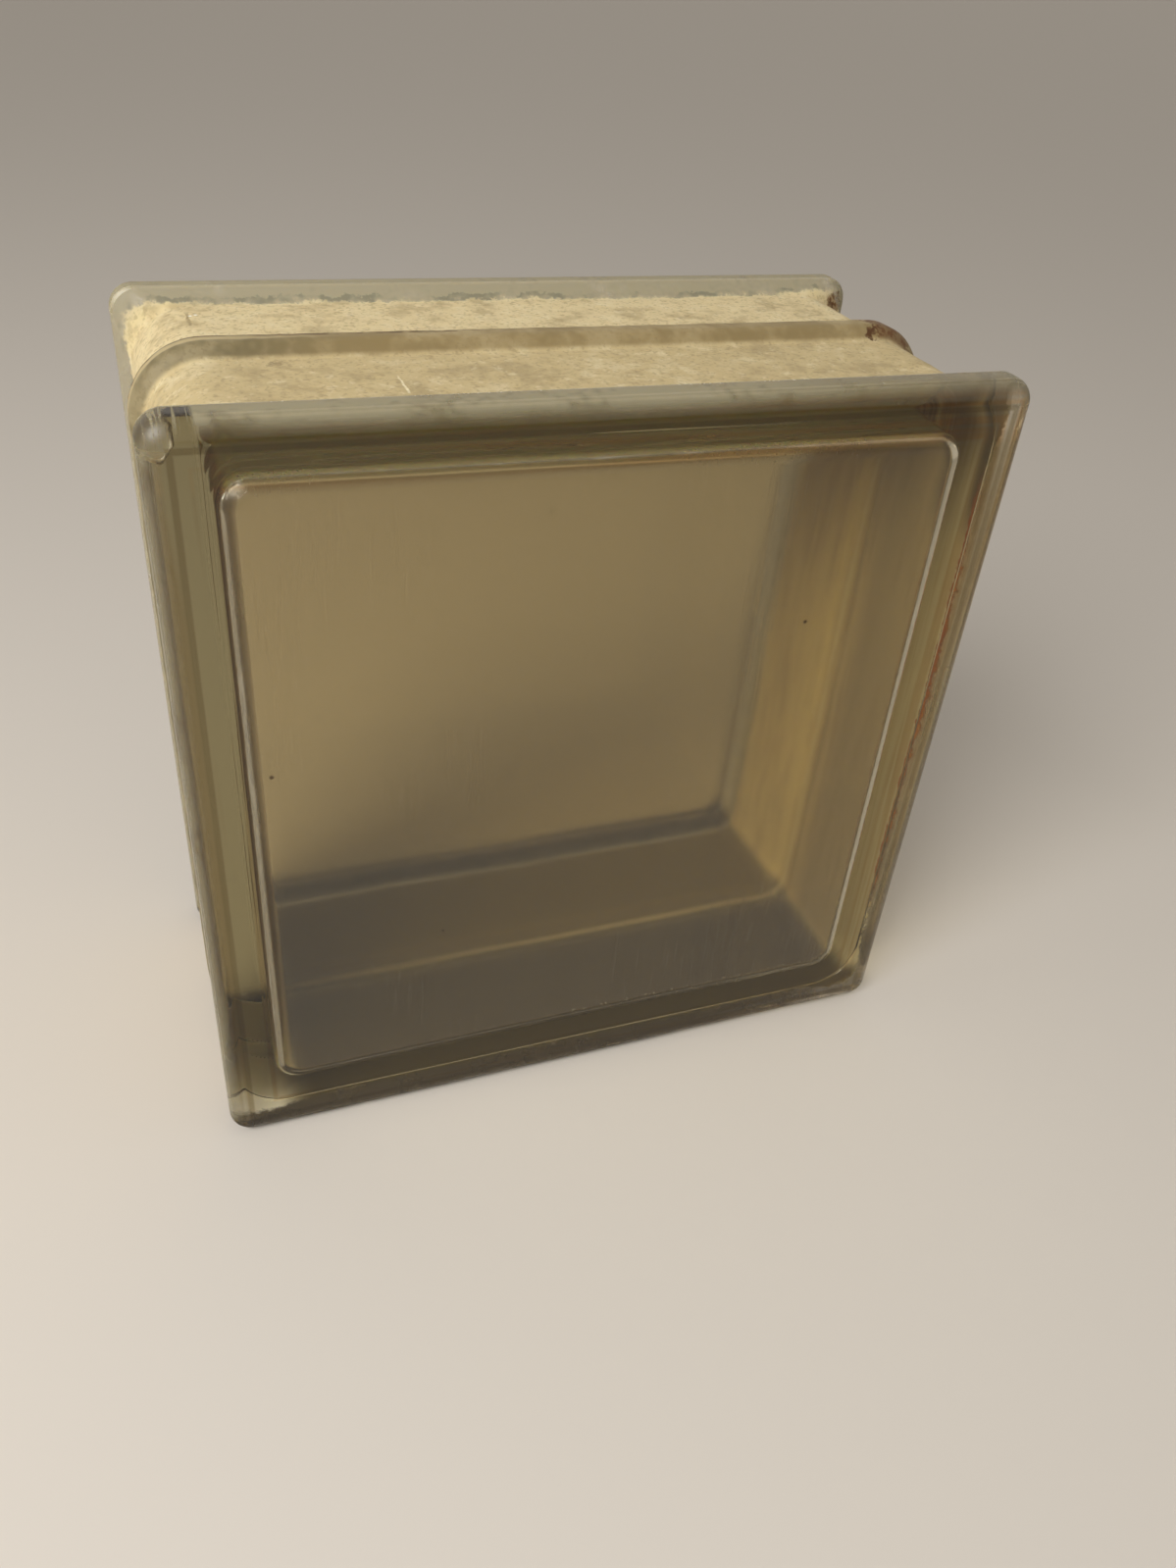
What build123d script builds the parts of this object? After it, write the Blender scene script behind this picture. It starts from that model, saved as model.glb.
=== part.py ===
from build123d import *
import os
from math import atan2, degrees

os.makedirs("parts", exist_ok=True)

# Hollow glass block: two pressed glass dishes fused into one sealed piece, with coated sides.
# Millimetres, +Z up. The block stands on one edge. X is its width and Y its thickness, with the
# front face at -Y. The origin is the middle of its footprint on the floor.

# Outside size, rim to rim and face to face
block_width = 196.85
block_height = 196.85
block_thickness = 98.43

# Rim round each face: a rounded front edge, a flat land, then a slope down to the mortar channel
rim_corner_radius = 6.0
rim_edge_radius = 4.6
rim_thickness = 8.5
rim_slope_run = 5.0

# Mortar channel between rim and ridge, on all four sides
channel_depth = 3.6
channel_corner_radius = 13.8

# Fused ridge round the middle of the four sides, a little lower than the rims
ridge_foot_width = 11.0
ridge_top_width = 5.0
ridge_below_rim = 0.6
ridge_edge_radius = 1.2

# Sealed hollow: flat faces, walls that thicken from the seam towards each face
face_thickness = 7.5
wall_thickness = 9.3
wall_draft = 0.4
hollow_corner_radius = 7.0
hollow_edge_radius = 4.5

# Bead of fused glass that stands into the hollow along the seam
seam_bead_height = 0.4
seam_bead_width = 1.6

# Sprayed coating on the channel floors and the ridge
coating_thickness = 0.4

# Depths measured from the middle of the thickness, the same on both halves
face_depth = block_thickness / 2
land_depth = face_depth - rim_thickness
channel_outer_depth = land_depth - rim_slope_run
ridge_foot_depth = ridge_foot_width / 2
ridge_top_depth = ridge_top_width / 2
hollow_face_depth = face_depth - face_thickness
bead_depth = seam_bead_width / 2
ridge_slope_run = ridge_foot_depth - ridge_top_depth
hollow_wall_run = hollow_face_depth - bead_depth

# Insets from the rim's outside line, and the ridge's corners, which run parallel to the channel's
ridge_height = channel_depth - ridge_below_rim
ridge_corner_radius = channel_corner_radius + ridge_height
hollow_seam_inset = channel_depth + wall_thickness
coat_floor_inset = channel_depth - coating_thickness
coat_ridge_inset = ridge_below_rim - coating_thickness
coat_top_depth = ridge_top_depth + coating_thickness / 2

# The way from the seam to the front face
to_front = (0, -1, 0)

# How near to a level an edge's middle has to lie to belong to it
edge_search = 0.01


def station(depth):
    """Plane square to Y on the front half, depth before the seam, centred on the block."""
    return Plane(origin=(0, -depth, block_height / 2), x_dir=(1, 0, 0), z_dir=(0, 1, 0))


def outline(depth, inset, radius):
    """Rounded rectangle across the block at a station, inset from the rim's outside line."""
    with BuildSketch(station(depth)) as drawn:
        RectangleRounded(block_width - 2 * inset, block_height - 2 * inset, radius)
    return drawn.sketch


def level_edges(part, depth):
    """Edges whose middle lies at one depth before the seam."""
    return part.edges().filter_by_position(Axis.Y, -depth - edge_search, -depth + edge_search)


def slope(inward, run):
    """Taper in degrees of a wall that leans inward by one length over the given run."""
    return degrees(atan2(inward, run))


# One pressed half from outside: rim, sloped flange, channel floor and its half of the ridge
with BuildPart() as pressed_half:
    extrude(outline(face_depth, 0, rim_corner_radius), amount=rim_thickness)
    land_line = outline(land_depth, 0, rim_corner_radius)
    channel_line = outline(channel_outer_depth, channel_depth, channel_corner_radius)
    loft([land_line.face(), channel_line.face()], ruled=True)
    extrude(channel_line, amount=channel_outer_depth)
    ridge_line = outline(ridge_top_depth, ridge_below_rim, ridge_corner_radius)
    extrude(ridge_line, amount=ridge_top_depth)
    extrude(ridge_line, amount=ridge_slope_run, dir=to_front, taper=slope(ridge_height, ridge_slope_run))
    fillet(faces().sort_by(Axis.Y)[0].edges(), rim_edge_radius)
    fillet(level_edges(pressed_half.part, ridge_top_depth), ridge_edge_radius)

# The hollow of one half: flat towards the face, widening to the seam, pinched by the seam's bead
with BuildPart() as hollow_half:
    seam_line = outline(bead_depth, hollow_seam_inset, hollow_corner_radius)
    extrude(seam_line, amount=hollow_wall_run, dir=to_front, taper=slope(wall_draft, hollow_wall_run))
    extrude(seam_line, amount=bead_depth, taper=slope(seam_bead_height, bead_depth))
    fillet(faces().sort_by(Axis.Y)[0].edges(), hollow_edge_radius)

# The block: both halves fused at the seam round one sealed hollow
with BuildPart() as glass_block:
    add(pressed_half.part)
    add(hollow_half.part, mode=Mode.SUBTRACT)
    mirror(about=Plane.XZ)
glass_block.part.label = "glass_block"
export_step(glass_block.part, "parts/glass_block.step")

# The coating's outer skin on one half, with the glass under it taken away
with BuildPart() as coated_half:
    coat_floor_line = outline(land_depth, coat_floor_inset, channel_corner_radius + coating_thickness)
    extrude(coat_floor_line, amount=land_depth)
    coat_ridge_line = outline(coat_top_depth, coat_ridge_inset, ridge_corner_radius + coating_thickness)
    extrude(coat_ridge_line, amount=coat_top_depth)
    extrude(coat_ridge_line, amount=ridge_slope_run, dir=to_front, taper=slope(ridge_height, ridge_slope_run))
    fillet(level_edges(coated_half.part, coat_top_depth), ridge_edge_radius + coating_thickness)
    add(pressed_half.part, mode=Mode.SUBTRACT)

# The coating: one closed band round the block
with BuildPart() as edge_coating:
    add(coated_half.part)
    mirror(about=Plane.XZ)
edge_coating.part.label = "edge_coating"
export_step(edge_coating.part, "parts/edge_coating.step")
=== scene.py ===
# %% [markdown]
# # A hollow glass block with coated sides
#
# The part is one square block of pressed glass. Two thick dishes are fused rim to rim into one sealed
# piece, so it has flat clear faces, a recessed channel for mortar on all four sides and a fused ridge round
# the middle. A cream coating is sprayed into the channels and over the ridge, for the mortar to grip.
#
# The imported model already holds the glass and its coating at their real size. This lesson makes both again
# as fine surfaces, because clear glass shows every facet, and then finishes them.

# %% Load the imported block
import math

import bpy
import numpy as np
from mathutils import Matrix, Vector


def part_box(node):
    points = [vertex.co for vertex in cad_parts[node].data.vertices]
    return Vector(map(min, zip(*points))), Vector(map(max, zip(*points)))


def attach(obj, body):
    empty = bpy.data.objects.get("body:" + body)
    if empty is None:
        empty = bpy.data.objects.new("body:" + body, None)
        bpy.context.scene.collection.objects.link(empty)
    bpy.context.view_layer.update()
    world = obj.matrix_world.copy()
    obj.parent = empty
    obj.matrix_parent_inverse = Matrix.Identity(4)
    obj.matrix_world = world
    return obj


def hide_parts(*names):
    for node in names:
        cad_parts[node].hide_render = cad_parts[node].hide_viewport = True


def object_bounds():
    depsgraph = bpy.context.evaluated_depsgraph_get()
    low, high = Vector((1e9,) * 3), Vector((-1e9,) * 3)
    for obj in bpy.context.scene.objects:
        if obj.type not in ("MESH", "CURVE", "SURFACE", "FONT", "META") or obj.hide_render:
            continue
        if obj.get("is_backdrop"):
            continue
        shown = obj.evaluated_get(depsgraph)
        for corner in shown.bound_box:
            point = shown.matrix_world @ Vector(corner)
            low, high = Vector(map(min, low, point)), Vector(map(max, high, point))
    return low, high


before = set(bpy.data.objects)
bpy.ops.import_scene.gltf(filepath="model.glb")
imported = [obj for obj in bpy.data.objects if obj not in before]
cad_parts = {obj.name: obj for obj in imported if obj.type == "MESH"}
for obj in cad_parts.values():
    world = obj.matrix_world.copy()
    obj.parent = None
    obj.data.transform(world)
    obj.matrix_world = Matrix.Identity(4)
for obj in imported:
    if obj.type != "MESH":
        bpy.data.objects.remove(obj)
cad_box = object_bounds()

low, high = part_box("glass_block")
WIDTH, THICKNESS, HEIGHT = high - low
print(f"block {WIDTH * 1000:.1f} x {THICKNESS * 1000:.1f} x {HEIGHT * 1000:.1f} mm")

# %% [markdown]
# ## Camera
#
# The camera comes first, because every later choice is judged through it. It stands above and to the left
# of the block and looks down at the front face, with the lens of a phone: a wide one, close to its subject.
# A heading, a tilt and a roll are easier to read than three mixed angles, so the turn is built from them.

# %% Set up the camera
CAMERA_PLACE = (-0.1011, -0.2739, 0.2774)
CAMERA_HEADING = -23.21
CAMERA_TILT = 54.32
CAMERA_ROLL = 5.39
CAMERA_LENS = 28.13
CAMERA_SENSOR = 36.0
CAMERA_SEES = (0.01, 60.0)

camera = bpy.data.objects.new("camera", bpy.data.cameras.new("camera"))
bpy.context.scene.collection.objects.link(camera)
bpy.context.scene.camera = camera
camera.data.lens = CAMERA_LENS
camera.data.sensor_width = CAMERA_SENSOR
camera.data.sensor_fit = "AUTO"
camera.data.clip_start, camera.data.clip_end = CAMERA_SEES
heading = Matrix.Rotation(math.radians(CAMERA_HEADING), 4, "Z")
tilt = Matrix.Rotation(math.radians(CAMERA_TILT), 4, "X")
roll = Matrix.Rotation(math.radians(CAMERA_ROLL), 4, "Z")
camera.matrix_world = Matrix.Translation(CAMERA_PLACE) @ heading @ tilt @ roll
print(f"camera {Vector(CAMERA_PLACE).length * 1000:.0f} mm from the foot of the block")

# %% [markdown]
# ## The section of the glass
#
# Seen in section, the side of the block is a short line with rounded corners: over the ridge, down into the
# channel, up the sloped flange, along the flat land and round the edge of the face. One such line, carried
# round a rounded square, gives the whole outside. Sizes are in metres, as depth from the fused seam and
# inset from the rim's outside line. The lands stay a hair inside that line, to leave room for a haze on them.

# %% Sizes of the outside
FACE_DEPTH = THICKNESS / 2
RIM_CORNER = 0.0060
RIM_EDGE = 0.0046
LAND_DEPTH = FACE_DEPTH - 0.0085
LAND_EDGE = 0.0010
CHANNEL_DEPTH = 0.0036
CHANNEL_CORNER = 0.0138
CHANNEL_END = LAND_DEPTH - 0.0050
CHANNEL_ROOT = 0.0015
RIDGE_FOOT = 0.0055
RIDGE_TOP = 0.0025
RIDGE_INSET = 0.0006
RIDGE_EDGE = 0.0012
SMALLEST_CORNER = 0.0004
HAIR = 0.00004
print(f"channel {(CHANNEL_END - RIDGE_FOOT) * 1000:.1f} mm wide and {CHANNEL_DEPTH * 1000:.1f} mm deep")

# %% A line with rounded corners
ARC_STEPS = 12


def rounded_line(corners, radii):
    """A line through corners in the plane, with each inner corner rounded by its radius.

    An arc starts and ends one radius times the tangent of half the turn away from its corner. Its points
    are the centre plus the radius times a direction that swings from one run's normal to the next one's.
    """
    corners = np.array(corners, float)
    line = [corners[:1]]
    for before, corner, after, radius in zip(corners, corners[1:], corners[2:], radii):
        arriving = (corner - before) / np.linalg.norm(corner - before)
        leaving = (after - corner) / np.linalg.norm(after - corner)
        cross = arriving[0] * leaving[1] - arriving[1] * leaving[0]
        turn = math.atan2(cross, arriving @ leaving)
        side = math.copysign(1, turn)
        normal = side * np.array([-arriving[1], arriving[0]])
        start = corner - arriving * radius * math.tan(abs(turn) / 2)
        swing = np.linspace(0, abs(turn), ARC_STEPS + 1)[:, None]
        centre = start + normal * radius
        line.append(centre - normal * radius * np.cos(swing) + arriving * radius * np.sin(swing))
    line.append(corners[-1:])
    return np.concatenate(line)


half_side = rounded_line(
    [(0, RIDGE_INSET), (RIDGE_TOP, RIDGE_INSET), (RIDGE_FOOT, CHANNEL_DEPTH), (CHANNEL_END, CHANNEL_DEPTH),
     (LAND_DEPTH, HAIR), (FACE_DEPTH, HAIR), (FACE_DEPTH, 2 * RIM_EDGE)],
    [RIDGE_EDGE, CHANNEL_ROOT, CHANNEL_ROOT, LAND_EDGE, RIM_EDGE],
)[:-1]
print(f"half of the side's section: {len(half_side)} points")

# %% Walk along a line by distance
def distances(line):
    """How far along the line each of its points lies."""
    return np.concatenate([[0], np.cumsum(np.linalg.norm(np.diff(line, axis=0), axis=1))])


def at_distance(line, where):
    """Depth and inset of the line at distances along it, straight between the line's points."""
    along = distances(line)
    return np.interp(where, along, line[:, 0]), np.interp(where, along, line[:, 1])


def with_steps(line, longest):
    """The distances of a line's own points, with more between them where a run is longer than a step."""
    along = distances(line)
    cuts = [np.linspace(a, b, int(math.ceil((b - a) / longest)) + 1)[1:] for a, b in zip(along, along[1:])]
    return np.concatenate([[0], *cuts])


whole_side = np.concatenate([half_side[::-1] * (-1, 1), half_side[1:]])
seam_distance = distances(whole_side)[-1] / 2
print(f"the side is {2 * seam_distance * 1000:.1f} mm round from face to face")

# %% [markdown]
# ## Carrying a section round the block
#
# A grid of points has rows that follow the section and columns that go once round. Each row is a rounded
# square, so the whole grid comes from one formula on arrays, without a loop over its points. The corner
# radius is not the same all along: the rim's corners are tight, and the channel's are wide.

# %% The rounded square
SIDE_STEPS = 36
CORNER_STEPS = 20


def carried_round(depth, inset, radius, side_steps=SIDE_STEPS, corner_steps=CORNER_STEPS):
    """Points of a section carried round: a straight run along each side, then an arc at each corner.

    Across a side a point lies at the half side less inset and radius, plus the radius times the cosine of
    its turn. Along the side it lies at a share of the straight run, plus the radius times the sine.
    """
    step = np.arange(side_steps + corner_steps)
    share = np.clip(step / side_steps, 0, 1) * 2 - 1
    turn = np.clip((step - side_steps) / corner_steps, 0, 1) * math.pi / 2
    per_row = (np.atleast_1d(value) for value in (depth, inset, radius))
    depth, inset, radius = (value[:, None] if value.ndim < 2 else value for value in per_row)
    quarters = []
    for quarter in range(4):
        columns = slice(quarter * step.size, (quarter + 1) * step.size)
        gap, rounding, level = (v[:, columns] if v.shape[1] > 1 else v for v in (inset, radius, depth))
        halves = (WIDTH / 2, HEIGHT / 2) if quarter % 2 == 0 else (HEIGHT / 2, WIDTH / 2)
        across = halves[0] - gap - rounding + rounding * np.cos(turn)
        along = (halves[1] - gap - rounding) * share + rounding * np.sin(turn)
        x, z = [(across, along), (-along, across), (-across, -along), (along, -across)][quarter]
        quarters.append(np.stack([x, np.broadcast_to(-level, x.shape), z + HEIGHT / 2], axis=-1))
    return np.concatenate(quarters, axis=1)


def outside_radius(depth, inset):
    """Corner radius of the outside: wide in the channel, tighter up the flange, nearly square at the face.

    Over the ridge and round the face's edge the corners run parallel, so the inset comes off the radius.
    """
    depth = np.abs(depth)
    radius = np.interp(depth, [CHANNEL_END, LAND_DEPTH], [CHANNEL_CORNER, RIM_CORNER])
    radius = radius + np.where(depth < CHANNEL_END / 2, CHANNEL_DEPTH - inset, 0)
    return np.maximum(radius - np.where(depth > LAND_DEPTH + LAND_EDGE, inset, 0), SMALLEST_CORNER)


print(f"a row of the grid has {4 * (SIDE_STEPS + CORNER_STEPS)} points")

# %% Slow waves for pressed glass
DRIFT_LIMIT = 1.5


def drift(points, wavelength, seed, count=9):
    """A soft pattern, mostly between -1 and 1: plane waves of one length in random directions, added up."""
    draws = np.random.default_rng(seed)
    directions = draws.normal(size=(count, 3))
    directions /= np.linalg.norm(directions, axis=1)[:, None]
    phases = draws.uniform(0, 2 * math.pi, count)
    waves = np.sin(points @ directions.T * (2 * math.pi / wavelength) + phases)
    return np.clip(waves.sum(-1) / math.sqrt(2 * count), -DRIFT_LIMIT, DRIFT_LIMIT)


# %% Join grids into a mesh
def grid_faces(rows, columns, first=0):
    """Quads between neighbouring rows of a grid whose columns close on themselves."""
    here = first + np.arange((rows - 1) * columns).reshape(rows - 1, columns)
    beside = np.roll(here, -1, axis=1)
    return np.stack([here, beside, beside + columns, here + columns], axis=-1).reshape(-1, 4)


def fan_faces(ring, centre):
    """Triangles from a closed ring to one middle point."""
    return np.stack([ring, np.roll(ring, -1), np.full(ring.size, centre)], axis=-1)


def mesh_object(name, points, faces, node):
    """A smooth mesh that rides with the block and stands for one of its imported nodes."""
    mesh = bpy.data.meshes.new(name)
    mesh.from_pydata(points.reshape(-1, 3).tolist(), [], [f.tolist() for block in faces for f in block])
    mesh.validate()
    mesh.polygons.foreach_set("use_smooth", np.ones(len(mesh.polygons), bool))
    piece = bpy.data.objects.new(name, mesh)
    bpy.context.scene.collection.objects.link(piece)
    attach(piece, "root")
    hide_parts(node)
    print(f"{name}: {len(mesh.vertices)} points, {len(mesh.polygons)} faces")
    return piece


# %% [markdown]
# ## The glass
#
# Light bends where it enters and leaves glass, so the glass needs its true thickness: an outside skin and
# the skin of the sealed hollow inside, in one mesh, with every face turned away from the glass. Each skin is
# a tube carried round the block, closed over both faces by smaller and smaller rings. Pressed glass is never
# quite flat, so slow waves a few hundredths of a millimetre deep are pushed into both skins.

# %% Sizes of the hollow
PLATE = 0.0075
SEAM_INSET = 0.0129
WALL_DRAFT = 0.0004
BEAD_HEIGHT = 0.0004
BEAD_DEPTH = 0.0008
HOLLOW_EDGE = 0.0045
HOLLOW_CORNER = 0.0070
CORNER_SHARPENING = 0.55
HOLLOW_FACE = FACE_DEPTH - PLATE
half_hollow = rounded_line(
    [(0, SEAM_INSET + BEAD_HEIGHT), (BEAD_DEPTH, SEAM_INSET), (HOLLOW_FACE, SEAM_INSET + WALL_DRAFT),
     (HOLLOW_FACE, SEAM_INSET + WALL_DRAFT + 2 * HOLLOW_EDGE)],
    [BEAD_HEIGHT, HOLLOW_EDGE],
)[:-1]
whole_hollow = np.concatenate([half_hollow[::-1] * (-1, 1), half_hollow[1:]])


def hollow_radius(depth, inset):
    """Corner radius of the hollow: widest at the seam, and tighter as the walls come in towards a face."""
    return HOLLOW_CORNER - CORNER_SHARPENING * (inset - SEAM_INSET)


print(f"hollow {2 * HOLLOW_FACE * 1000:.1f} mm deep, between faces {PLATE * 1000:.1f} mm thick")

# %% Close a tube with rings over both faces
FACE_RINGS = 20
STEP = 0.0016
WAVE = 0.045
FACE_WAVE_DEPTH = 0.00005
WALL_WAVE_DEPTH = 0.00012
LONG_ROLL, SHORT_ROLL = 0.011, 0.006
LONG_DRAW, SHORT_DRAW = (0.12, 1, 0.12), (0.2, 1, 0.2)
SHORT_SHARE = 0.6
FADE_RUN = 0.006


def closed_skin(section, radius_of, waves_seed, wall_waves=0.0):
    """A section carried round and closed over both faces, with its points and faces.

    Each face is a set of rings whose inset grows in equal steps to the middle of the block. The walls of a
    pressed dish are drawn along their length, so their waves are long that way and short from face to face.
    """
    depth, inset = at_distance(section, with_steps(section, STEP))
    radius = radius_of(depth, inset)
    if wall_waves:
        flat_walls = carried_round(depth, inset, radius)
        rolls = drift(flat_walls * LONG_DRAW, LONG_ROLL, waves_seed + 1)
        rolls += SHORT_SHARE * drift(flat_walls * SHORT_DRAW, SHORT_ROLL, waves_seed + 2)
        fade = np.clip((depth[-1] - np.abs(depth)) / FADE_RUN, 0, 1)[:, None]
        inset = inset[:, None] + wall_waves * rolls * fade
        radius = np.broadcast_to(radius[:, None], inset.shape)
    middle = min(WIDTH, HEIGHT) / 2
    inward = np.linspace(0, 1, FACE_RINGS + 1)[1:-1]
    last_inset, last_radius = section[-1, 1], radius_of(section[-1:, 0], section[-1:, 1])[0]
    ring_inset = last_inset + (middle - last_inset) * inward
    ring_radius = last_radius * (1 - inward)
    level = np.full(ring_inset.size, depth[-1])
    if wall_waves:
        level, ring_inset, ring_radius = (
            np.broadcast_to(v[:, None], (v.size, inset.shape[1])) for v in (level, ring_inset, ring_radius)
        )
        depth = np.broadcast_to(depth[:, None], inset.shape)
    points = carried_round(
        np.concatenate([-level[::-1], depth, level]),
        np.concatenate([ring_inset[::-1], inset, ring_inset]),
        np.concatenate([ring_radius[::-1], radius, ring_radius]),
    )
    rows, columns = points.shape[:2]
    face_level = section[-1, 0]
    poles = np.array([[0, face_level, HEIGHT / 2], [0, -face_level, HEIGHT / 2]])
    points = np.concatenate([points.reshape(-1, 3), poles])
    first_ring = np.arange(columns)[::-1]
    last_ring = (rows - 1) * columns + np.arange(columns)
    quads = grid_faces(rows, columns)
    fans = np.concatenate([fan_faces(first_ring, rows * columns), fan_faces(last_ring, rows * columns + 1)])
    away = np.where(np.abs(points[:, 1]) > face_level - STEP, np.sign(points[:, 1]), 0)
    points[:, 1] += away * FACE_WAVE_DEPTH * (drift(points, WAVE, waves_seed) / DRIFT_LIMIT - 1)
    return points, quads, fans


OUTER_SEED, INNER_SEED = 3, 5
outer_points, outer_quads, outer_fans = closed_skin(whole_side, outside_radius, OUTER_SEED)
inner_points, inner_quads, inner_fans = closed_skin(whole_hollow, hollow_radius, INNER_SEED, WALL_WAVE_DEPTH)
print(f"outside {len(outer_quads)} quads, hollow {len(inner_quads)} quads")

# %% One mesh for both skins
shift = len(outer_points)
glass = mesh_object(
    "clear_glass_body",
    np.concatenate([outer_points, inner_points]),
    [outer_quads, outer_fans, inner_quads[:, ::-1] + shift, inner_fans[:, ::-1] + shift],
    "glass_block",
)


def enclosed(points, quads, fans):
    """Volume inside a closed skin: the sum of the small pyramids between its triangles and the origin."""
    triangles = np.concatenate([quads[:, [0, 1, 2]], quads[:, [0, 2, 3]], fans])
    a, b, c = (points[triangles[:, k]] for k in range(3))
    return float(np.einsum("ij,ij->i", a, np.cross(b, c)).sum() / 6)


outside_volume = enclosed(outer_points, outer_quads, outer_fans)
hollow_volume = enclosed(inner_points, inner_quads, inner_fans)
print(f"outside {outside_volume * 1e6:.0f} ml, hollow {hollow_volume * 1e6:.0f} ml")

# %% [markdown]
# ## The coating
#
# The coating is a thin shell that follows the same section, from one face over both flanges and the ridge to
# the other. It is thick in the channels, and only a haze of overspray on the flanges and lands. Its inner
# skin lies a hair inside the glass, so that the glass shows it as paint shows behind a window, with no film
# of air between. Each point stores three numbers for the finish: how far it lies inside the sprayed band, how
# much haze can lie there, and whether it belongs to the skin behind the glass.

# %% Sizes of the coating
COAT_SINK = 0.00005
COAT_THICK = 0.00034
HAZE_THICK = 0.00003
COAT_ROWS = 88
COAT_SIDE_STEPS = 112
COAT_CORNER_STEPS = 18
ARC_POINTS = ARC_STEPS + 1
FLANGE_START, EDGE_START = distances(half_side)[[1 + 2 * ARC_POINTS, -ARC_POINTS]]
COAT_END = FLANGE_START + 0.0010
HAZE_START = EDGE_START + 0.0026
HAZE_END = HAZE_START + 0.0040
HAZE_FADE = 0.0008
HAZE_STOP = 0.0006
FEATHER = 0.0016
CORNER_REACH = 0.0030
CORNER_START, CORNER_RUN = 0.024, 0.016
# A sway or a grit is given by its height and by the length of its waves.
SLOW_SWAY, SLOW_SWAY_WAVE = 0.0005, 0.055
QUICK_SWAY, QUICK_SWAY_WAVE = 0.0003, 0.016
FINE_GRIT, FINE_GRIT_WAVE = 0.00005, 0.0047
COARSE_GRIT, COARSE_GRIT_WAVE = 0.00004, 0.009
BACK_SEED, FRONT_SEED, GRIT_SEED = 31, 21, 41
print(f"spray to {COAT_END * 1000:.1f} mm from the seam, haze to {HAZE_END * 1000:.1f} mm")


def spray_end(around, seed):
    """How far up the flange the spray reaches: an even line with a slow sway, and further at the corners."""
    slow = SLOW_SWAY * drift(around, SLOW_SWAY_WAVE, seed)
    quick = QUICK_SWAY * drift(around, QUICK_SWAY_WAVE, seed + 1)
    beside = np.minimum(np.abs(around[:, 0]), np.abs(around[:, 2] - HEIGHT / 2))
    corner = np.clip((beside - (WIDTH / 2 - CORNER_START)) / CORNER_RUN, 0, 1)
    return COAT_END + (slow + quick) + CORNER_REACH * corner


# %% Make the coating's shell
coat_steps = (COAT_SIDE_STEPS, COAT_CORNER_STEPS)
floor_line = carried_round([0.0], [CHANNEL_DEPTH], [CHANNEL_CORNER], *coat_steps)[0]
reach = seam_distance + HAZE_END * np.linspace(-1, 1, COAT_ROWS)[:, None] * np.ones(len(floor_line))
coat_depth, coat_inset = at_distance(whole_side, reach)
coat_radius = outside_radius(coat_depth, coat_inset)
from_seam = np.abs(reach - seam_distance)
ends = np.where(reach > seam_distance, spray_end(floor_line, FRONT_SEED), spray_end(floor_line, BACK_SEED))
margin = ends - from_seam
rise = np.clip(margin / FEATHER, 0, 1)
rise = rise * rise * (3 - 2 * rise)
to_end = np.clip((HAZE_END - from_seam) / HAZE_FADE, 0, 1)
on_glass = carried_round(coat_depth, coat_inset, coat_radius, *coat_steps)
grit = FINE_GRIT * drift(on_glass, FINE_GRIT_WAVE, GRIT_SEED)
grit += COARSE_GRIT * drift(on_glass, COARSE_GRIT_WAVE, GRIT_SEED + 1)
lift = (COAT_THICK + grit) * rise + HAZE_THICK * (1 - rise) * to_end - COAT_SINK * (1 - to_end)
outer_skin = carried_round(coat_depth, coat_inset - lift, coat_radius + lift, *coat_steps)
inner_skin = carried_round(coat_depth, coat_inset + COAT_SINK, coat_radius - COAT_SINK, *coat_steps)
columns = outer_skin.shape[1]
skins = np.concatenate([outer_skin, inner_skin[::-1][1:-1]])
wrap = grid_faces(len(skins), columns)
last_row = (len(skins) - 1) * columns + np.arange(columns)
first_row = np.arange(columns)
closing = np.stack([last_row, np.roll(last_row, -1), np.roll(first_row, -1), first_row], axis=-1)
coating = mesh_object("sprayed_coating", skins, [wrap, closing], "edge_coating")


def store(piece, name, values):
    """Stores one number for each point of a piece, for its finish to read."""
    piece.data.attributes.new(name, "FLOAT", "POINT").data.foreach_set("value", values.ravel())


store(coating, "behind_glass", np.repeat(np.arange(len(skins)) >= COAT_ROWS, columns).astype(float))
store(coating, "margin_mm", 1000 * np.concatenate([margin, margin[::-1][1:-1]]))
haze = np.clip((HAZE_END - HAZE_STOP - from_seam) / (HAZE_END - HAZE_STOP - HAZE_START), 0, 1)
store(coating, "haze", np.concatenate([haze, haze[::-1][1:-1]]))

# %% [markdown]
# ## Writing materials as expressions
#
# A mask is a number at every point, and masks are easier to read as sums than as chains of nodes. The small
# class below wraps a socket, so that plus, minus and times add the Math nodes. Everything else goes through
# one method that takes a node's type, its settings and its inputs.

# %% A number that carries its node
class Level:
    """A socket that holds a number at every point of a surface, with arithmetic that adds Math nodes."""

    def __init__(self, finish, socket):
        self.finish, self.socket = finish, socket

    def __add__(self, other):
        return self.finish.math("ADD", self, other)

    def __sub__(self, other):
        return self.finish.math("SUBTRACT", self, other)

    def __rsub__(self, other):
        return self.finish.math("SUBTRACT", other, self)

    def __mul__(self, other):
        return self.finish.math("MULTIPLY", self, other)

    __radd__ = __add__
    __rmul__ = __mul__


# %% A finish under construction
# A Mix node's sockets go by number: the factor, the two colours and the mixed colour.
MIX_FACTOR, MIX_UNDER, MIX_OVER, MIXED = 0, 6, 7, 2


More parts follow.
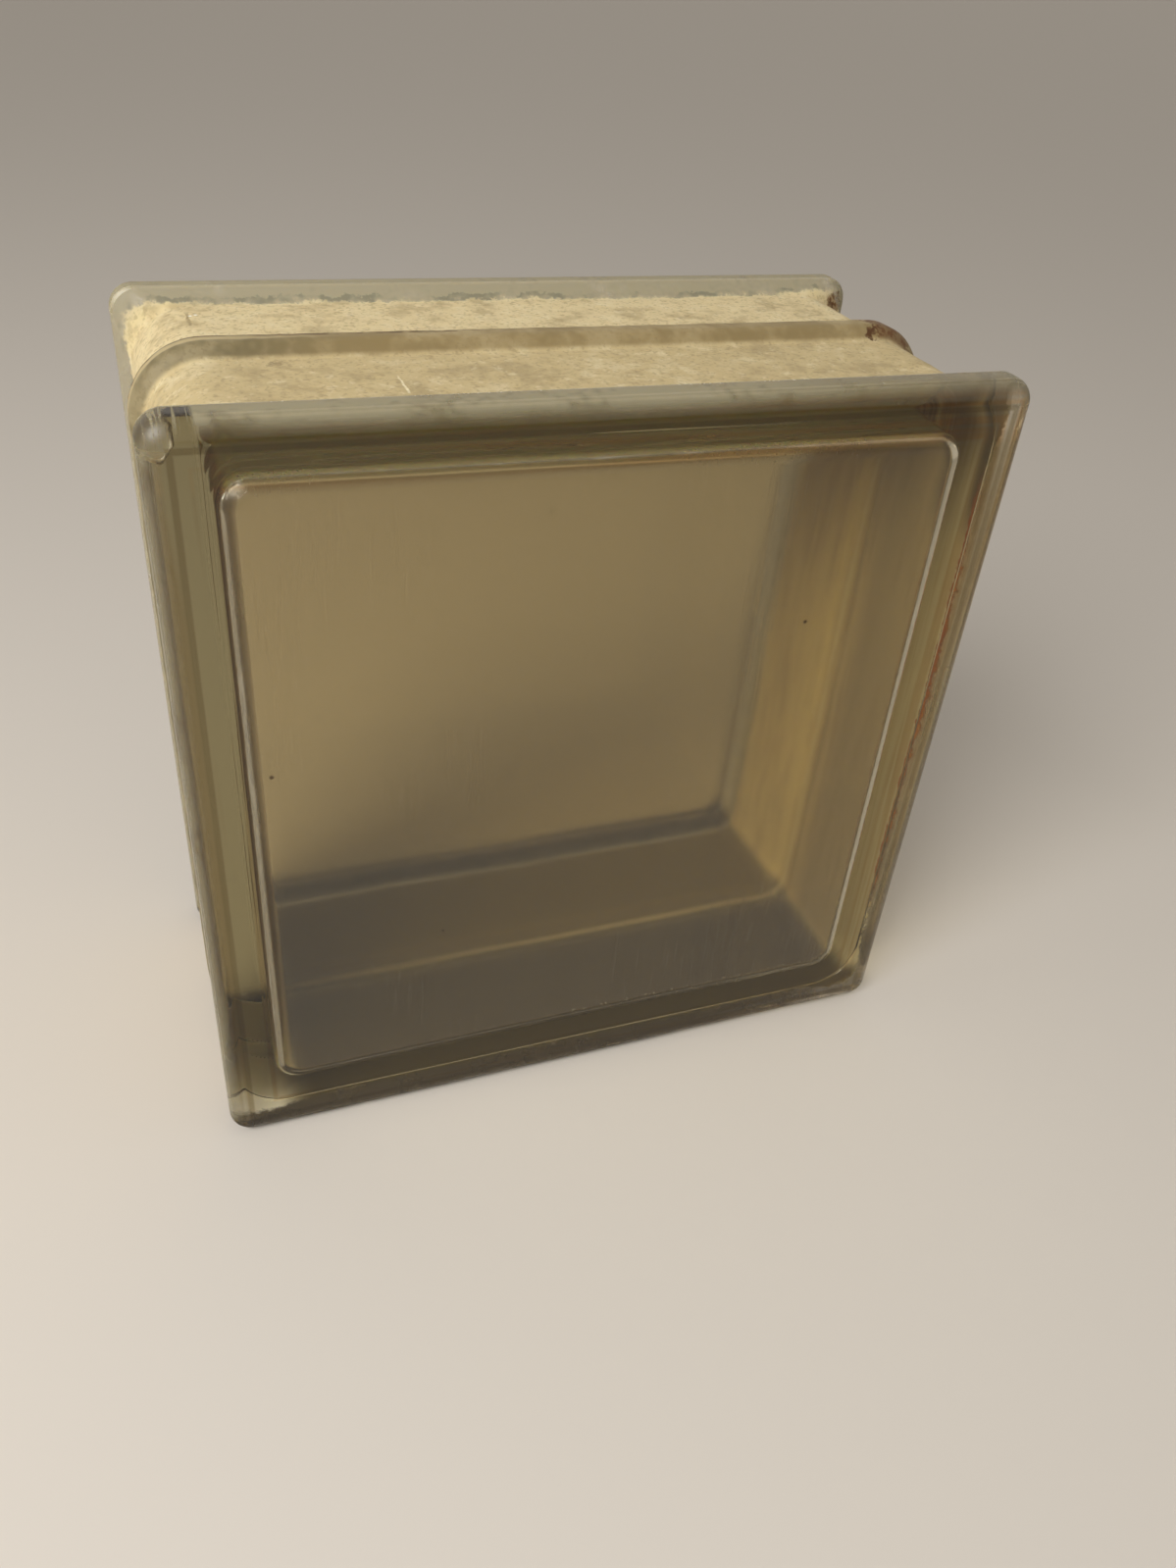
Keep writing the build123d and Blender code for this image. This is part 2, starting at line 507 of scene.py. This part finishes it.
class Finish:
    """The nodes of a material or of a sky, added one by one."""

    def __init__(self, owner):
        owner.use_nodes = True
        self.owner, self.tree, self.axes = owner, owner.node_tree, {}
        self.tree.nodes.clear()

    def add(self, kind, settings=None, inputs=None, output=0):
        """Adds a node, applies its settings, fills its inputs with values or links, and returns an output.

        A node that ends a tree has no output, and returns nothing.
        """
        node = self.tree.nodes.new(kind)
        for key, value in (settings or {}).items():
            setattr(node, key, value)
        for key, value in (inputs or {}).items():
            if isinstance(value, Level):
                self.tree.links.new(value.socket, node.inputs[key])
            else:
                node.inputs[key].default_value = value
        return Level(self, node.outputs[output]) if node.outputs else None

    def math(self, operation, *values):
        """One Math node."""
        return self.add("ShaderNodeMath", {"operation": operation}, dict(enumerate(values)))

    def between(self, value, start, end):
        """Rises smoothly from 0 where the value is at its start to 1 at its end."""
        inputs = {"Value": value, "From Min": start, "From Max": end}
        return self.add("ShaderNodeMapRange", {"interpolation_type": "SMOOTHSTEP"}, inputs)

    def place(self):
        """Object coordinates, which are metres in the block's own frame."""
        return self.add("ShaderNodeTexCoord", output="Object")

    def axis(self, name):
        """One coordinate of the place, from a node that is made once."""
        if name not in self.axes:
            self.axes[name] = self.add("ShaderNodeSeparateXYZ", inputs={"Vector": self.place()}, output=name)
        return self.axes[name]

    def region(self, *limits):
        """1 inside a region. Each limit names an axis, where the mask is 0 on it and where it reaches 1."""
        (name, start, end), *others = limits
        mask = self.between(self.axis(name), start, end)
        for name, start, end in others:
            mask = mask * self.between(self.axis(name), start, end)
        return mask

    def stretched(self, factors):
        """The place, multiplied along each axis, so that a pattern on it is drawn out."""
        inputs = {0: self.place(), 1: factors}
        return self.add("ShaderNodeVectorMath", {"operation": "MULTIPLY"}, inputs)

    def combine(self, x, y, z):
        """A place made of three numbers."""
        return self.add("ShaderNodeCombineXYZ", inputs={"X": x, "Y": y, "Z": z})

    def noise(self, scale, detail, roughness, where=None):
        """Soft noise with so many features to a metre, so many finer layers, and their share of the whole."""
        inputs = {"Vector": where or self.place(), "Scale": scale, "Detail": detail, "Roughness": roughness}
        return self.add("ShaderNodeTexNoise", inputs=inputs)

    def stored(self, name):
        """A number stored at each point of the piece."""
        return self.add("ShaderNodeAttribute", {"attribute_name": name}, output="Fac")

    def band(self, value, centre, half, soft):
        """1 where a value lies within half a width of a centre, fading to 0 over a soft rim."""
        return 1 - self.between(self.math("ABSOLUTE", value - centre), half, half + soft)

    def spot(self, centre, radius, soft, uneven=0.0):
        """1 within a radius of a point, fading to 0 over a soft rim. A level can disturb the outline."""
        inputs = {0: self.place(), 1: centre}
        gap = self.add("ShaderNodeVectorMath", {"operation": "DISTANCE"}, inputs, output="Value")
        return 1 - self.between(gap + uneven, radius, radius + soft)

    def blend(self, amount, under, over):
        """Mixes two colours by a mask: the first where it is 0, the second where it is 1."""
        inputs = {MIX_FACTOR: amount, MIX_UNDER: under, MIX_OVER: over}
        return self.add("ShaderNodeMix", {"data_type": "RGBA"}, inputs, output=MIXED)

    def layered(self, under, layers):
        """A colour with layers over it. Each layer has a mask, a strength and a colour."""
        for mask, strength, over in layers:
            under = self.blend(mask * strength, under, over)
        return under

    def ray(self, kind):
        """1 on rays of one kind, such as those that look for a lamp, and 0 on all others."""
        return self.add("ShaderNodeLightPath", output=kind)

    def either(self, share, first, second):
        """Mixes two shaders: the first where the share is 0, the second where it is 1."""
        return self.add("ShaderNodeMixShader", inputs={0: share, 1: first, 2: second})

    def surface(self, inputs):
        """A Principled surface, set as the material's output."""
        principled = self.add("ShaderNodeBsdfPrincipled", inputs=inputs)
        self.add("ShaderNodeOutputMaterial", inputs={"Surface": principled})


def colour(red, green, blue):
    """A colour given as eye values from 0 to 255, turned into the linear values that shaders use."""
    eye = np.array([red, green, blue]) / 255
    linear = np.where(eye <= 0.04045, eye / 12.92, ((eye + 0.055) / 1.055) ** 2.4)
    return (*linear.tolist(), 1.0)


# %% [markdown]
# ## Glass finish
#
# Thick pressed glass has a faint olive cast that deepens with its thickness, so the colour comes from
# absorption inside the volume and not from the surface. A brownish tint on the hollow's faces darkens all
# that is seen through the block, and stands in partly for the dim light inside and behind it: painted shade.
# Age has left a stain in fine cords along the front face's border, lighter along the top as painted light.
# The dark line where the face's rounded edge starts is painted shade. Age has also left dull smears, hair
# scratches, a few specks and worn corners.
#
# Bent light meets a small lamp only by chance, so the rays that look for a lamp go straight through the
# glass, a little tinted. Otherwise the clear block would cast a shadow as dark as a stone's.

# %% Specks on both faces
FACE_SPECKS = [
    ((-0.0799, -FACE_DEPTH, 0.1168), 0.0003),
    ((0.0479, -FACE_DEPTH, 0.1409), 0.0003),
    ((-0.0410, -FACE_DEPTH, 0.0620), 0.0002),
    ((0.0150, FACE_DEPTH, 0.1320), 0.0003),
    ((-0.0560, FACE_DEPTH, 0.0710), 0.0003),
]
SPECK_SOFT = 0.0004
print(f"{len(FACE_SPECKS)} specks")

# %% Colours of the glass
GLASS_BEND = 1.52
ABSORPTION = 23.0
ABSORPTION_COLOUR = (0.56, 0.495, 0.20, 1.0)
LAMP_TINT = (0.92, 0.90, 0.84, 1.0)
CLEAN = (1.0, 1.0, 1.0, 1.0)
HOLLOW_SHADE_TINT = (0.54, 0.43, 0.21, 1.0)
STAIN = (0.62, 0.46, 0.24, 1.0)
LIT_TOP_STAIN = (1.0, 0.62, 0.28, 1.0)
EDGE_LINE_SHADE = (0.42, 0.34, 0.18, 1.0)
SPECK = colour(70, 48, 26)

# %% Where the glass is marked
# A pair says where a mask is 0 and where it reaches 1, and a limit names an axis first. A band has a centre,
# half a width and a soft rim, and a spot has a centre, a radius and a soft rim.
HALF_WIDTH = WIDTH / 2
SHADE_TINT_GAP = (HALF_WIDTH - 0.0125, HALF_WIDTH - 0.0135)
SHADE_TINT_RISE = (HOLLOW_FACE - 0.0045, HOLLOW_FACE - 0.0015)
SHADE_TINT_FALL = (HOLLOW_FACE + 0.003, HOLLOW_FACE + 0.002)
FRONT_FACE = ("Y", 0.0020 - FACE_DEPTH, 0.0004 - FACE_DEPTH)
BORDER_GAP = (HALF_WIDTH - 0.0155, HALF_WIDTH - 0.0125)
TOP_BORDER = ("Z", HEIGHT - 0.0150, HEIGHT - 0.0125)
EDGE_LINE_SHADE_BAND = (HALF_WIDTH - 0.0057, 0.0004, 0.0006)
CORDS_ACROSS, CORDS_ALONG, CORD_MASK = 380, 7, (0.46, 0.60)
WIPES_TO_A_METRE, SMEAR_MASK, WIPED_MASK = 18, (0.50, 0.75), (0.45, 0.6)
SCRATCH_STRETCH, SCRATCH_MASK = (1500, 1500, 60), (0.66, 0.72)
BRUISE_SPOT = ((-0.0935, -0.0470, 0.1753), 0.0008, 0.0006)
INNER_EDGE_BAND = (0.0022 - HOLLOW_FACE, 0.0018, 0.0008)
WORN_CORNER_GAP = (HALF_WIDTH - 0.0070, HALF_WIDTH - 0.0045)

# %% Colour the surface of the glass
clear = Finish(bpy.data.materials.new("aged_clear_glass"))
from_axis = clear.math("ABSOLUTE", clear.axis("X"))
from_middle = clear.math("ABSOLUTE", clear.axis("Z") - HEIGHT / 2)
side_gap = clear.math("MAXIMUM", from_axis, from_middle)
both_gaps = clear.math("MINIMUM", from_axis, from_middle)
depth_here = clear.math("ABSOLUTE", clear.axis("Y"))
# A brownish tint on the hollow's faces darkens all that is seen through the block. It stands in partly for
# the dim light inside and behind the block, as painted shade.
shade_tinted = clear.between(side_gap, *SHADE_TINT_GAP)
shade_tinted = shade_tinted * clear.between(depth_here, *SHADE_TINT_RISE) * clear.between(depth_here, *SHADE_TINT_FALL)
tint = clear.blend(shade_tinted, CLEAN, HOLLOW_SHADE_TINT)
for place, radius in FACE_SPECKS:
    tint = clear.blend(clear.spot(place, radius, SPECK_SOFT), tint, SPECK)
on_face = clear.region(FRONT_FACE)
border = clear.between(side_gap, *BORDER_GAP) * on_face
drawn_out = [side_gap * CORDS_ACROSS, clear.axis("X") * CORDS_ALONG, clear.axis("Z") * CORDS_ALONG]
cords = clear.between(clear.noise(1.0, 1, 0.6, clear.combine(*drawn_out)), *CORD_MASK)
# Painted shade: a dark line on the front face where its rounded edge starts.
edge_line_shade = clear.band(side_gap, *EDGE_LINE_SHADE_BAND) * on_face
# Along the top the border's stain is lighter: painted light, for the brighter band seen through the glass
# there.
tint = clear.layered(tint, [
    (border * cords, 0.85, clear.blend(clear.region(TOP_BORDER), STAIN, LIT_TOP_STAIN)),
    (edge_line_shade, 0.9, EDGE_LINE_SHADE),
])

# %% Roughen the surface of the glass
# Each row has a mask and the roughness that it adds.
POLISHED = 0.012
wiped = clear.noise(WIPES_TO_A_METRE, 1, 0.6)
scratched = clear.between(clear.noise(1.0, 0, 0.5, clear.stretched(SCRATCH_STRETCH)), *SCRATCH_MASK)
wear = [
    (clear.between(wiped, *SMEAR_MASK), 0.03),
    (scratched * clear.between(wiped, *WIPED_MASK), 0.12),
    (clear.spot(*BRUISE_SPOT), 0.5),
    (clear.band(clear.axis("Y"), *INNER_EDGE_BAND), 0.16),
    (clear.between(both_gaps, *WORN_CORNER_GAP), 0.40),
]
roughness = POLISHED
for mask, added in wear:
    roughness = roughness + mask * added

# %% Build the glass
bends = clear.add("ShaderNodeBsdfPrincipled", inputs={
    "Base Color": tint,
    "Roughness": roughness,
    "IOR": GLASS_BEND,
    "Transmission Weight": 1.0,
})
passes = clear.add("ShaderNodeBsdfTransparent", inputs={"Color": LAMP_TINT})
lit_through = clear.either(clear.ray("Is Shadow Ray"), bends, passes)
absorbing = {"Color": ABSORPTION_COLOUR, "Density": ABSORPTION}
absorbs = clear.add("ShaderNodeVolumeAbsorption", inputs=absorbing)
clear.add("ShaderNodeOutputMaterial", inputs={"Surface": lit_through, "Volume": absorbs})
glass.data.materials.append(clear.owner)
print(f"glass finish: {len(clear.tree.nodes)} nodes")

# %% [markdown]
# ## Coating finish
#
# The coating is a matt cream, mottled by dirt and by the spray's grain. Its front half is painted a darker
# tan, as painted shade. It is worn thin over the ridge, which is darker and a little polished, and it has
# rusted at one corner and down the right side. Beyond its ragged end a haze of overspray clouds the flanges
# and lands.
# Underneath the block that haze is painted dark, as painted shade where the block stands. The skin behind the
# glass is painted with light and shade: darker on its front half and in one upper corner as painted shade,
# streaked with painted reflections, pale along the top and in the low left corner as painted light, with a
# painted highlight along the seam, and darker along the bottom. The coating is thin, so a little light passes
# through it.
#
# A painted picture could hold all this too. Masks made of noise, of places on the block and of the stored
# numbers are used instead, because they stay sharp close up and follow the spray's own edge.

# %% Colours of the coating
CREAM = colour(213, 193, 148)
TAN = colour(192, 172, 128)
PALE = colour(230, 215, 176)
SHADE = colour(152, 134, 98)
OLIVE = colour(136, 118, 80)
DARK_OLIVE = colour(108, 98, 70)
HAZE = colour(167, 156, 126)
CONTACT_SHADE = colour(66, 54, 30)
RUST = colour(100, 68, 38)
DEEP_RUST = colour(80, 52, 26)
RUST_LINE = colour(126, 70, 26)
UMBER = colour(98, 78, 48)
WHITE = colour(250, 246, 232)
DASH = colour(112, 112, 92)
UNDER_BACK = colour(232, 213, 166)
UNDER_FRONT_SHADED = colour(168, 156, 126)
UNDER_REFLECTION_STREAK = colour(152, 136, 100)
UNDER_CORNER_SHADE = colour(62, 52, 28)
UNDER_HAZE_SHADED = colour(108, 94, 66)
UNDER_HAZE_BACK = colour(214, 200, 164)
UNDER_PAINTED_LIGHT = colour(255, 244, 222)
UNDER_SEAM_HIGHLIGHT = colour(246, 234, 204)
BOTTOM_DARK_BACK = colour(114, 98, 24)
BOTTOM_DARK_FRONT = colour(66, 54, 10)

# %% Places on the coating
# Each limit names an axis, where a mask is 0 on it and where it reaches 1. A band has a centre, half a width
# and a soft rim.
TOP_SIDE = ("Z", HEIGHT - 0.012, HEIGHT - 0.004)
BOTTOM_SIDE = ("Z", 0.008, 0.004)
BARE_CORNER = (("X", -0.0872, -0.0884), ("Z", 0.190, 0.193), ("Y", -0.0415, -0.0420))
CLEANER_RIM = (("X", 0.010, 0.075), ("Y", -0.030, -0.038))
FRONT_HALF = ("Y", 0.004, -0.006)
LEFT_END = ("X", -0.045, -0.085)
RIDGE_BAND = (0, 0.0044, 0.0014)
LIT_LIP_BAND = (0.0002, 0.0007, 0.0006)
CHIPPED_BAND = (0.0020, 0.0011, 0.0005)
CHIPPED_LEFT = ("X", -0.015, -0.03)
CHIPPED_TOP = ("Z", 0.172, 0.184)
DASH_BAND = (-1.0, 0.5, 0.6)
DASH_SIDE = ("Y", 0.02, 0.025)
RUST_LINE_BAND = (0.3, 1.0, 0.7)
RUST_LINE_RIGHT = ("X", 0.084, 0.090)
RUST_LINE_FRONT = ("Y", -0.030, -0.034)
RUST_LINE_HEIGHT = (("Z", 0.030, 0.045), ("Z", 0.176, 0.160))

# %% Where the coating ends
RAGGED_REACH = 5.5
SPRAY_EDGE = (-1.3, 0.6)
HAZE_ON_SIDES, HAZE_MORE_ABOVE, SHADE_MORE_BELOW = 0.42, 0.26, 0.44
HAZE_MASK = (0.15, 0.50)
COMB_STRETCH, COMB_MASK = (1300, 60, 60), (0.54, 0.62)
BARE_SHARE, CLEANER_SHARE = 0.7, 0.5
coat = Finish(bpy.data.materials.new("cream_spray_coating"))
across_x, across_y = coat.axis("X"), coat.axis("Y")
# Noise lies between 0 and 1. Less a half it is centred on 0, and pushes an edge both ways.
ragged = coat.noise(260, 3, 0.75) - 0.5
wisps = coat.noise(70, 3, 0.75)
grain = coat.noise(900, 1, 0.65)
margin_here = coat.stored("margin_mm") + ragged * RAGGED_REACH
sprayed = coat.between(margin_here, *SPRAY_EDGE)
bottom_side = coat.region(BOTTOM_SIDE)
# Below the block more of this cover shows, and there it is painted dark as shade.
haze_and_shade_cover = HAZE_ON_SIDES + HAZE_MORE_ABOVE * coat.region(TOP_SIDE) + SHADE_MORE_BELOW * bottom_side
combed = coat.between(coat.noise(1.0, 1, 0.5, coat.stretched(COMB_STRETCH)), *COMB_MASK)
haze = coat.between(wisps, *HAZE_MASK) * haze_and_shade_cover * coat.stored("haze")
haze = haze * (1 - coat.region(*BARE_CORNER) * (1 - combed * BARE_SHARE))
haze = haze * (1 - CLEANER_SHARE * coat.region(*CLEANER_RIM))

# %% Colour the coating
FLAKE_STRETCH, FLAKE_MASK = (150, 500, 500), (0.47, 0.53)
DASH_STRENGTH = 0.8
ridge = coat.band(across_y, *RIDGE_BAND)
left_end = coat.region(LEFT_END)
flaking = coat.between(coat.noise(1.0, 2, 0.7, coat.stretched(FLAKE_STRETCH)), *FLAKE_MASK)
chipped = coat.band(across_y, *CHIPPED_BAND) * coat.region(CHIPPED_LEFT) * flaking * coat.region(CHIPPED_TOP)
dashes = coat.band(margin_here, *DASH_BAND) * coat.region(DASH_SIDE) * coat.between(wisps, 0.44, 0.58)
# Each layer has a mask, its strength and its colour, from the lowest to the top one.
# The front half is painted tan, darker than the cream back half: painted shade.
base = coat.layered(coat.blend(coat.region(FRONT_HALF), CREAM, TAN), [
    (coat.between(wisps, 0.50, 0.68), 0.50, SHADE),
    (coat.between(wisps, 0.48, 0.34), 0.25, PALE),
    (coat.between(ragged, 0.05, 0.22), 0.45, SHADE),
    (coat.between(ragged, -0.04, -0.20), 0.35, PALE),
    (coat.between(grain, 0.47, 0.30), 0.50, SHADE),
    (ridge, 0.72 + 0.28 * coat.between(wisps, 0.35, 0.6), coat.blend(left_end, OLIVE, DARK_OLIVE)),
    (chipped, 1, UMBER),
    (coat.band(across_y, *LIT_LIP_BAND) * left_end, 0.7, TAN),
])
# Underneath the block the haze is painted dark: painted shade where the block stands on the floor.
base = coat.blend(sprayed, coat.blend(bottom_side, HAZE, CONTACT_SHADE), base)
base = coat.blend(dashes * DASH_STRENGTH, base, DASH)

# %% Rust, scratches and spots
OUTLINE_SWAY = 0.012
RUST_LINE_STRENGTH = 0.6
uneven = ragged * OUTLINE_SWAY


def scratch(across, sway, half, along):
    """A swaying line along Y, with its place across, its sway, half its width and its band along."""
    return coat.band(across_x, across + ragged * sway, half, 0.0003) * coat.band(across_y, *along)


# Each row has the mask of a mark and its colour, from the lowest layer to the top one.
marks = [
    (coat.spot((0.0935, 0.0368, 0.1908), 0.0030, 0.0016, uneven), RUST),
    (coat.spot((0.0920, 0.0350, 0.1915), 0.0012, 0.0014, uneven), DEEP_RUST),
    (coat.spot((0.0865, -0.0010, 0.1945), 0.0062, 0.0012, uneven) * ridge, RUST),
    (coat.spot((0.0815, -0.0020, 0.1950), 0.0018, 0.0014, uneven), DEEP_RUST),
    (coat.spot((0.0935, -0.0230, 0.1870), 0.0012, 0.0010, uneven), UMBER),
    (scratch(-0.0821, 0.002, 0.0002, (0.0250, 0.004, 0.002)), SHADE),
    (coat.spot((-0.0814, 0.0274, 0.1932), 0.0004, 0.0003), WHITE),
    (coat.spot((-0.0801, 0.0281, 0.1932), 0.0004, 0.0003), WHITE),
    (scratch(-0.0440, 0.001, 0.0001, (-0.0247, 0.005, 0.001)), PALE),
    (coat.spot((-0.0668, -0.0090, 0.1932), 0.0008, 0.0010, uneven), SHADE),
]
grainy = 0.6 + 0.4 * coat.between(grain, 0.40, 0.60)
base = coat.layered(base, [(mask, grainy, tone) for mask, tone in marks])
print(f"{len(marks)} marks on the coating")
rust_line = coat.band(margin_here, *RUST_LINE_BAND) * coat.region(RUST_LINE_RIGHT)
rust_line = rust_line * coat.region(RUST_LINE_FRONT) * coat.between(wisps, 0.30, 0.42)
rust_line = rust_line * coat.region(*RUST_LINE_HEIGHT)
base = coat.blend(rust_line * RUST_LINE_STRENGTH, base, RUST)

# %% Colour the skin behind the glass
TOP_EDGE = ("Z", 0.180, 0.190)
LOW_LEFT_CORNER = (("Z", 0.022, 0.012), ("X", -0.078, -0.086))
DARK_BOTTOM = (("Z", 0.012, 0.006), ("X", -0.088, -0.074))
SHADED_CORNER = (("X", 0.080, 0.088), ("Z", 0.150, 0.168), ("Y", -0.026, -0.034))
SEAM_BAND = (0, 0.0005, 0.0006)
REFLECTION_STREAK_STRETCH = (30, 420, 30)
BOTTOM_DARK_FRONT_HALF = ("Y", 0.004, -0.010)
UNDER_FRONT_HALF = ("Y", 0.004, -0.016)
UNDER_BACK_HALF = ("Y", -0.010, 0.010)
# Streaks of painted reflection on the skin behind the glass.
reflection_streaks = coat.noise(1.0, 2, 0.6, coat.stretched(REFLECTION_STREAK_STRETCH))
bottom_dark = coat.blend(coat.region(BOTTOM_DARK_FRONT_HALF), BOTTOM_DARK_BACK, BOTTOM_DARK_FRONT)
# The haze's skin behind the glass is painted darker on the front half: painted shade.
under_haze = coat.blend(coat.region(UNDER_BACK_HALF), UNDER_HAZE_SHADED, UNDER_HAZE_BACK)
# The front half of the skin behind the glass is painted darker: painted shade.
under = coat.layered(coat.blend(coat.region(UNDER_FRONT_HALF), UNDER_BACK, UNDER_FRONT_SHADED), [
    (coat.between(reflection_streaks, 0.40, 0.70), 0.5, UNDER_REFLECTION_STREAK),
    # Painted light: pale along the top edge and in the low left corner.
    (coat.region(TOP_EDGE), 1, UNDER_PAINTED_LIGHT),
    (coat.region(*LOW_LEFT_CORNER), 1, UNDER_PAINTED_LIGHT),
    # Darker along the bottom, and darker still on its front half as painted shade.
    (coat.region(*DARK_BOTTOM), 1, bottom_dark),
    # Painted highlight along the seam.
    (coat.band(across_y, *SEAM_BAND), 0.7, UNDER_SEAM_HIGHLIGHT),
    # Painted shade in one upper corner at the front.
    (coat.region(*SHADED_CORNER), 0.85, UNDER_CORNER_SHADE),
])
# Underneath the block the haze's skin behind the glass is painted dark too: painted shade.
under = coat.blend(sprayed, coat.blend(bottom_side, under_haze, CONTACT_SHADE), under)
under = coat.blend(rust_line, under, RUST_LINE)

# %% Build the coating
MATT = 0.85
RIDGE_POLISH = 0.3
coat.surface({
    "Base Color": coat.blend(coat.stored("behind_glass"), base, under),
    "Roughness": MATT - ridge * RIDGE_POLISH,
    "Specular IOR Level": 0.25,
    "Subsurface Weight": 0.3,
    "Subsurface Radius": (1.0, 0.75, 0.40),
    "Subsurface Scale": 0.0012,
    "Alpha": coat.math("MAXIMUM", sprayed, haze),
})
coating.data.materials.append(coat.owner)
print(f"coating finish: {len(coat.tree.nodes)} nodes")

# %% [markdown]
# ## Floor and light
#
# Glass has no look of its own: it shows what stands round it. A wide pale floor runs past the frame, and the
# sky round it is the same pale tone. One large soft lamp from the upper left gives the rims their streaks.

# %% Lay the floor
FLOOR_DROP = 0.0001
FLOOR_HALF = 40.0
FLOOR_COLOUR = colour(214, 206, 195)
corners = FLOOR_HALF * np.array([(-1, -1, 0), (1, -1, 0), (1, 1, 0), (-1, 1, 0)]) - (0, 0, FLOOR_DROP)
floor_mesh = bpy.data.meshes.new("floor")
floor_mesh.from_pydata(corners.tolist(), [], [(0, 1, 2, 3)])
floor = bpy.data.objects.new("floor", floor_mesh)
bpy.context.scene.collection.objects.link(floor)
floor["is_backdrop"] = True
ground = Finish(bpy.data.materials.new("pale_floor"))
ground.surface({"Base Color": FLOOR_COLOUR, "Roughness": 0.9, "Specular IOR Level": 0.1})
floor_mesh.materials.append(ground.owner)
print(f"floor {2 * FLOOR_HALF:.0f} m wide, {FLOOR_DROP * 1000:.1f} mm under the block")

# %% Light the block
LAMP_PLACE = Vector((-0.64, -0.46, 0.76))
LAMP_SIZE = 0.5
LAMP_POWER = 9.0
lamp = bpy.data.objects.new("soft_lamp", bpy.data.lights.new("soft_lamp", "AREA"))
lamp.data.shape = "SQUARE"
lamp.data.size = LAMP_SIZE
lamp.data.energy = LAMP_POWER
lamp.location = LAMP_PLACE
lamp.rotation_euler = (Vector((0, 0, HEIGHT / 2)) - LAMP_PLACE).to_track_quat("-Z", "Y").to_euler()
bpy.context.scene.collection.objects.link(lamp)
print(f"lamp {LAMP_POWER} W, {LAMP_PLACE.length:.2f} m from the foot of the block")

# %% Surround it with a pale sky
# The sky lights the block with one colour, and is seen, mirrored and seen through as another.
SKY_COLOUR = (1.0, 0.97, 0.93, 1.0)
SKY_STRENGTH = 0.42
sky = Finish(bpy.data.worlds.new("pale_sky"))
bpy.context.scene.world = sky.owner
seen = sky.ray("Is Camera Ray")
for kind in ("Is Glossy Ray", "Is Transmission Ray"):
    seen = sky.math("MAXIMUM", seen, sky.ray(kind))
lights = sky.add("ShaderNodeBackground", inputs={"Color": SKY_COLOUR, "Strength": SKY_STRENGTH})
shows = sky.add("ShaderNodeBackground", inputs={"Color": FLOOR_COLOUR, "Strength": 1.0})
sky.add("ShaderNodeOutputWorld", inputs={"Surface": sky.either(seen, lights, shows)})
print(f"sky strength {SKY_STRENGTH}")

# %% Let light pass through all the layers of glass
# A line of sight crosses four skins of glass, and more where it is mirrored inside. Light that has left matt
# surfaces twice is faint, so it ends there.
BOUNCES = 9
DIFFUSE_BOUNCES = 2
bpy.context.scene.view_settings.view_transform = "Standard"
bpy.context.scene.cycles.transmission_bounces = BOUNCES
bpy.context.scene.cycles.max_bounces = BOUNCES
bpy.context.scene.cycles.diffuse_bounces = DIFFUSE_BOUNCES
bpy.context.scene.cycles.transparent_max_bounces = BOUNCES
print(f"light turns up to {BOUNCES} times, {DIFFUSE_BOUNCES} of them on matt surfaces")

# %% [markdown]
#
# A dressed block that has grown or shrunk no longer fits the model that moves and collides. So the box round
# the imported block, measured right after it was loaded, is set beside the box round the dressed one, and the
# largest gap between them is printed.

# %% Compare the dressed block with the imported one
sizes = {
    "cad": [list(corner) for corner in cad_box],
    "visual": [list(corner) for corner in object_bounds()],
}
apart = np.abs(np.subtract(sizes["cad"], sizes["visual"])).max()
print(f"the two boxes agree within {apart * 1000:.2f} mm")
